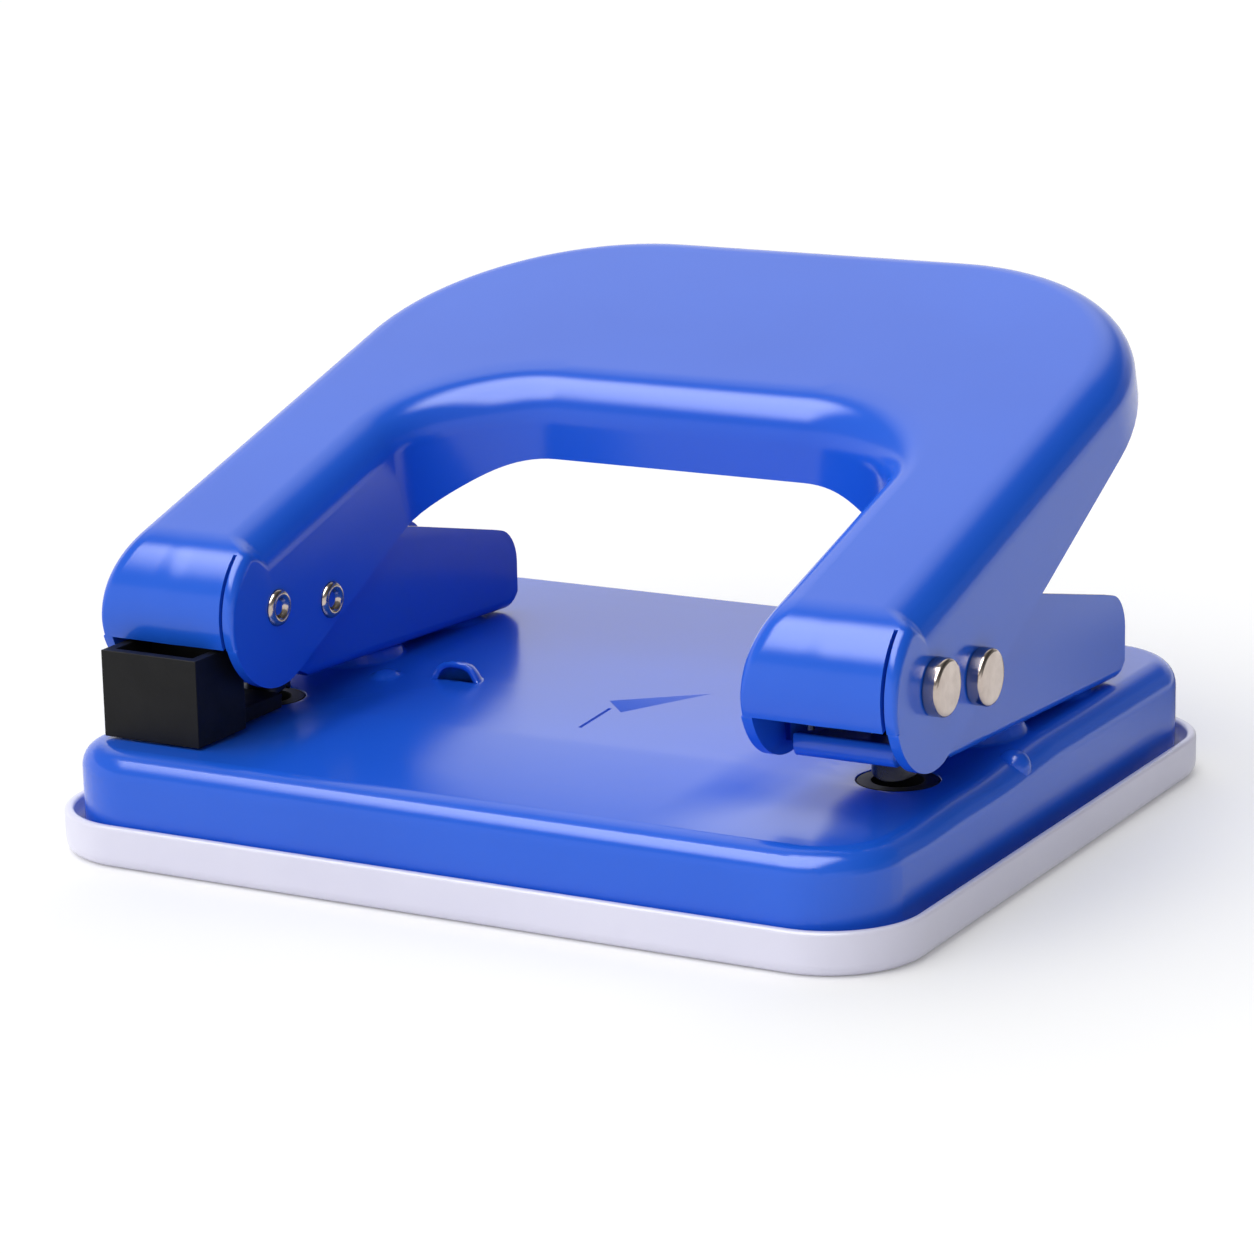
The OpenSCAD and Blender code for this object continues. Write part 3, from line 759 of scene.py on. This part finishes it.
# Cross pins
# Four nickel-plated pins, two through each leg. The front ones carry the lever, and the rear ones
# drive the punches. Each has a flat head outboard and is rolled over a dimple inboard.
seat = leg_half + 0.02 * mm
head = 3.1 * mm
shank = 1.8 * mm
nickel = steel("nickel", (0.47, 0.395, 0.35), (0.58, 0.5, 0.45), 0.12, 0.24,
               lines=700.0, stretch=1.0, depth=0.03)
for row in ("pivot", "drive"):
    for side, name in ((-1, "left"), (1, "right")):
        low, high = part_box(f"{row}_pin_{name}")
        centre = Vector((side * half_pitch, (low.y + high.y) / 2, (low.z + high.z) / 2))
        pin = turned_piece([
            (-seat + 0.15 * mm, 0), (-seat + 0.15 * mm, 0.75 * mm), (-seat - 0.2 * mm, 1.0 * mm),
            (-seat - 0.48 * mm, 1.2 * mm), (-seat - 0.6 * mm, 1.45 * mm),
            (-seat - 0.57 * mm, 1.72 * mm), (-seat - 0.4 * mm, 1.95 * mm),
            (-seat - 0.15 * mm, 2.1 * mm), (-seat, 2.12 * mm), (-seat, shank),
            (seat, shank), (seat, head - 0.2 * mm), (seat + 0.06 * mm, head - 0.06 * mm),
            (seat + 0.2 * mm, head), (seat + 1.3 * mm, head), (seat + 1.5 * mm, head - 0.05 * mm),
            (seat + 1.68 * mm, head - 0.18 * mm), (seat + 1.78 * mm, head - 0.4 * mm),
            (seat + 1.8 * mm, head - 0.65 * mm), (seat + 1.8 * mm, 0)],
            centre, Vector((side, 0, 0)))
        pin_piece = add_piece(f"{row}_pin_turned_{name}", pin, nickel)
        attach(pin_piece, "lever")
        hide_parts(f"{row}_pin_{name}")

# Return springs
# Two torsion springs of hard steel wire, wound on the pivot pins.
# One leg stands on the lip of the channel and the other lifts the lever from below.
wire = 0.9 * mm
coil = 2.65 * mm
turns = 5
pitch = 1.5 * mm
lift_angle = radians(40.5)
lift_leg = 11.6 * mm
sweep = 2 * pi * turns + pi / 2 - lift_angle
coil_start = -3.853 * mm
coil_run = pitch * sweep / (2 * pi)
for side, name in ((-1, "left"), (1, "right")):
    first = Vector((side * (half_pitch + coil_start), pivot.y - coil, pivot.z))
    wound = bmesh.new()
    made = bmesh.ops.create_circle(wound, cap_ends=False, segments=10, radius=wire / 2,
                                   matrix=Matrix.Translation(first))["verts"]
    start_edges = list(dict.fromkeys(e for v in made for e in v.link_edges))
    steps = 26 * turns
    last = swing(wound, start_edges, pivot, (1, 0, 0), -sweep, steps,
                 step=(side * coil_run / steps, 0, 0))
    end_edges = only(last, bmesh.types.BMEdge)
    foot = frame_low.z + lip_rise + wire / 2 + 0.15 * mm
    for edges, step in ((start_edges, (0, 0, foot - pivot.z)),
                        (end_edges, (0, lift_leg * cos(lift_angle), lift_leg * sin(lift_angle)))):
        leg = bmesh.ops.extrude_edge_only(wound, edges=edges)["geom"]
        leg_verts = only(leg, bmesh.types.BMVert)
        bmesh.ops.translate(wound, verts=leg_verts, vec=step)
        tip = [e for e in only(leg, bmesh.types.BMEdge) if all(v in leg_verts for v in e.verts)]
        bmesh.ops.contextual_create(wound, geom=tip)
    spring_piece = add_piece("spring_wound_" + name, wound, dark_steel)
    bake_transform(spring_piece)
    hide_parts("spring_" + name)

# Nose block
# A loose plug of matt black plastic under the left nose, moulded hollow and open at the top.
# A flat tongue at its back slides between the base and the channel.
block_low, block_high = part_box("nose_block")
block_deep = 9.2 * mm
block_foot = 12.75 * mm
block_wall = 1.2 * mm
tongue_half = 5 * mm
tongue_thick = 1.7 * mm
block_floor = 1.4 * mm

black_plastic, tree, shader = new_finish("black_plastic", IOR=1.46, Specular_IOR_Level=0.22)
skin = use_effect(tree, mottle, Patch=180.0, Grain=2600.0)
soot = ramp(tree, skin["Tone"], (0.3, (0.005, 0.005, 0.0055)), (0.7, (0.009, 0.009, 0.0095)))
tree.links.new(soot, shader.inputs["Base Color"])
tree.links.new(use_effect(tree, handling, Size=260.0, Least=0.42, Most=0.56)["Roughness"],
               shader.inputs["Roughness"])
tree.links.new(raised(tree, skin["Height"], 0.12, 0.1 * mm), shader.inputs["Normal"])

block = bmesh.new()
bmesh.ops.create_cube(block, size=1.0)
size = Vector((block_high.x - block_low.x, block_deep, block_high.z - block_foot))
middle = Vector(((block_low.x + block_high.x) / 2, block_low.y + block_deep / 2,
                 (block_foot + block_high.z) / 2))
bmesh.ops.scale(block, vec=size, verts=block.verts)
bmesh.ops.translate(block, vec=middle, verts=block.verts)
top = faces_at(block, block_high.z)
bmesh.ops.inset_region(
    block, faces=top, thickness=block_wall, use_even_offset=True, use_boundary=True)
pull(block, top, (0, 0, block_floor - size.z))
cut(block, (0, 0, block_foot + tongue_thick), (0, 0, 1))
for beside in (-tongue_half, tongue_half):
    cut(block, (middle.x + beside, 0, 0), (1, 0, 0))
back = [f for f in block.faces if all(
    abs(v.co.y - block_low.y - block_deep) < 1e-7
    and v.co.z < block_foot + tongue_thick + 1e-7
    and abs(v.co.x - middle.x) < tongue_half + 1e-7 for v in f.verts)]
pull(block, back, (0, block_high.y - block_low.y - block_deep, 0))
bmesh.ops.dissolve_limit(block, angle_limit=radians(1), verts=block.verts, edges=block.edges)
block_piece = add_piece("block_moulding", block, black_plastic, edge=0.5 * mm)
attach(block_piece, "block")
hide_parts("nose_block")

# Studio
# A plain white floor under soft light, with a painted shadow behind the part that only glossy
# reflections show:
# a broad panel overhead and to the front, a round lamp behind on the left, and fill from the front
# left. The camera stands where the photograph was taken from.
floor_tone = 0.86
floor_glow = 0.17
# Painted shadow on the floor, seen only in reflections: its centre, where it starts, where it is
# full, and how dark it gets.
painted_shadow_at, painted_shadow_none, painted_shadow_full, painted_shadow_most = (0.025, 0.1, 0.0), 0.07, 0.03, 0.8
panel_shown, panel_lit = 9.0, 1.0
lamp_shown, lamp_lit = 1.0, 2.0
lamp_from, lamp_edge, lamp_core = Vector((-0.352, 0.628, 0.669)), radians(34), radians(12)
fill_from, fill_least, fill_most = Vector((-0.5, -0.76, 0.42)), 0.15, 1.12
view_turn, view_rise, view_roll = radians(29.3), radians(14.21), radians(-1.17)
view_shift = (-1.41 * mm, 20.44 * mm, 483.48 * mm)
view_lens = 121.62
bpy.context.scene.view_settings.view_transform = "Standard"
floor_mesh = bmesh.new()
bmesh.ops.create_grid(floor_mesh, x_segments=1, y_segments=1, size=6.0)
floor_data = bpy.data.meshes.new("floor")
floor_mesh.to_mesh(floor_data)
floor_mesh.free()
floor = bpy.data.objects.new("floor", floor_data)
bpy.context.scene.collection.objects.link(floor)
paper = bpy.data.materials.new("white_paper")
paper.use_nodes = True
tree = paper.node_tree
tree.nodes.clear()


def sums(operation, first, second):
    return put(tree, "Math", {0: first, 1: second}, operation=operation).outputs[0]


def seen_rays():
    """1 for rays that show the background as it is: camera, glossy and transmission rays."""
    path = put(tree, "LightPath").outputs
    seen = sums("MAXIMUM", path["Is Camera Ray"], path["Is Glossy Ray"])
    return sums("MAXIMUM", seen, path["Is Transmission Ray"])


def fade(value, none, full, least=0.0, most=1.0):
    """A soft step from one value to another."""
    return put(tree, "MapRange", {
        "Value": value, "From Min": none, "From Max": full, "To Min": least, "To Max": most},
        interpolation_type="SMOOTHSTEP").outputs["Result"]


# A painted shadow on the floor behind the part: the floor is darker there for glossy rays only, so
# only reflections in glossy surfaces show it.
where = put(tree, "TexCoord").outputs["Object"]
spot = put(tree, "VectorMath", {0: where, 1: painted_shadow_at}, operation="DISTANCE")
painted_shadow = fade(spot.outputs["Value"], painted_shadow_none, painted_shadow_full, 0.0, painted_shadow_most)
glossy = put(tree, "LightPath").outputs["Is Glossy Ray"]
kept = sums("SUBTRACT", 1.0, sums("MULTIPLY", glossy, painted_shadow))
matt = put(tree, "BsdfDiffuse", {"Color": sums("MULTIPLY", kept, floor_tone)}).outputs["BSDF"]
glow = put(tree, "Emission", {
    "Color": (floor_glow, floor_glow, floor_glow, 1.0),
    "Strength": sums("MULTIPLY", seen_rays(), kept)}).outputs["Emission"]
both = put(tree, "AddShader", {0: matt, 1: glow}).outputs["Shader"]
put(tree, "OutputMaterial", {"Surface": both})
floor_data.materials.append(paper)

studio = bpy.data.worlds.new("studio")
studio.use_nodes = True
bpy.context.scene.world = studio
tree = studio.node_tree
tree.nodes.clear()
toward = put(tree, "TexCoord").outputs["Generated"]
height = put(tree, "SeparateXYZ", {"Vector": toward}).outputs["Z"]


def facing(direction):
    """How far a ray points in one direction."""
    node = put(tree, "VectorMath", {0: toward, 1: direction}, operation="DOT_PRODUCT")
    return node.outputs["Value"]


def glow_of(strength, colour=(1.0, 1.0, 1.0, 1.0)):
    return put(tree, "Background", {"Color": colour, "Strength": strength}).outputs["Background"]


across = sums("DIVIDE", facing((1.0, 0.0, 0.0)), height)
along = sums("DIVIDE", facing((0.0, 1.0, 0.0)), height)
panel = fade(height, 0.2, 0.4)
for place, none, full in ((across, -1.0, -0.6), (across, 0.55, 0.2),
                          (along, 0.1, -0.14), (along, -1.6, -0.9)):
    panel = sums("MULTIPLY", panel, fade(place, none, full))
lamp = fade(facing(lamp_from.normalized()), cos(lamp_edge), cos(lamp_core))
shown = ramp(tree, height, (0.0, (1, 1, 1)), (0.28, (1, 1, 1)),
             (0.34, (0.26, 0.26, 0.26)), (0.8, (0.18, 0.18, 0.18)))
walls = glow_of(fade(facing((0.83, 0.55, 0.05)), 0.35, 0.9, 1.0, 0.2), shown)
lamps = sums("ADD", sums("MULTIPLY", panel, panel_shown), sums("MULTIPLY", lamp, lamp_shown))
lamps = glow_of(lamps)
seen = put(tree, "AddShader", {0: walls, 1: lamps}).outputs["Shader"]
fill = fade(facing(fill_from.normalized()), -0.1, 0.95, fill_least, fill_most)
lit = sums("ADD", sums("MULTIPLY", panel, panel_lit), sums("MULTIPLY", lamp, lamp_lit))
lit = glow_of(sums("ADD", fill, lit))
light = put(tree, "MixShader", {"Fac": seen_rays(), 1: lit, 2: seen}).outputs["Shader"]
put(tree, "OutputWorld", {"Surface": light})

aim = Matrix.Rotation(view_turn, 4, "Z") @ Matrix.Rotation(pi / 2 - view_rise, 4, "X")
lens = bpy.data.cameras.new("camera")
lens.sensor_width = 36
lens.lens = view_lens
camera = bpy.data.objects.new("camera", lens)
camera.matrix_world = aim @ Matrix.Translation(view_shift) @ Matrix.Rotation(view_roll, 4, "Z")
bpy.context.scene.collection.objects.link(camera)
bpy.context.scene.camera = camera

bpy.context.view_layer.update()
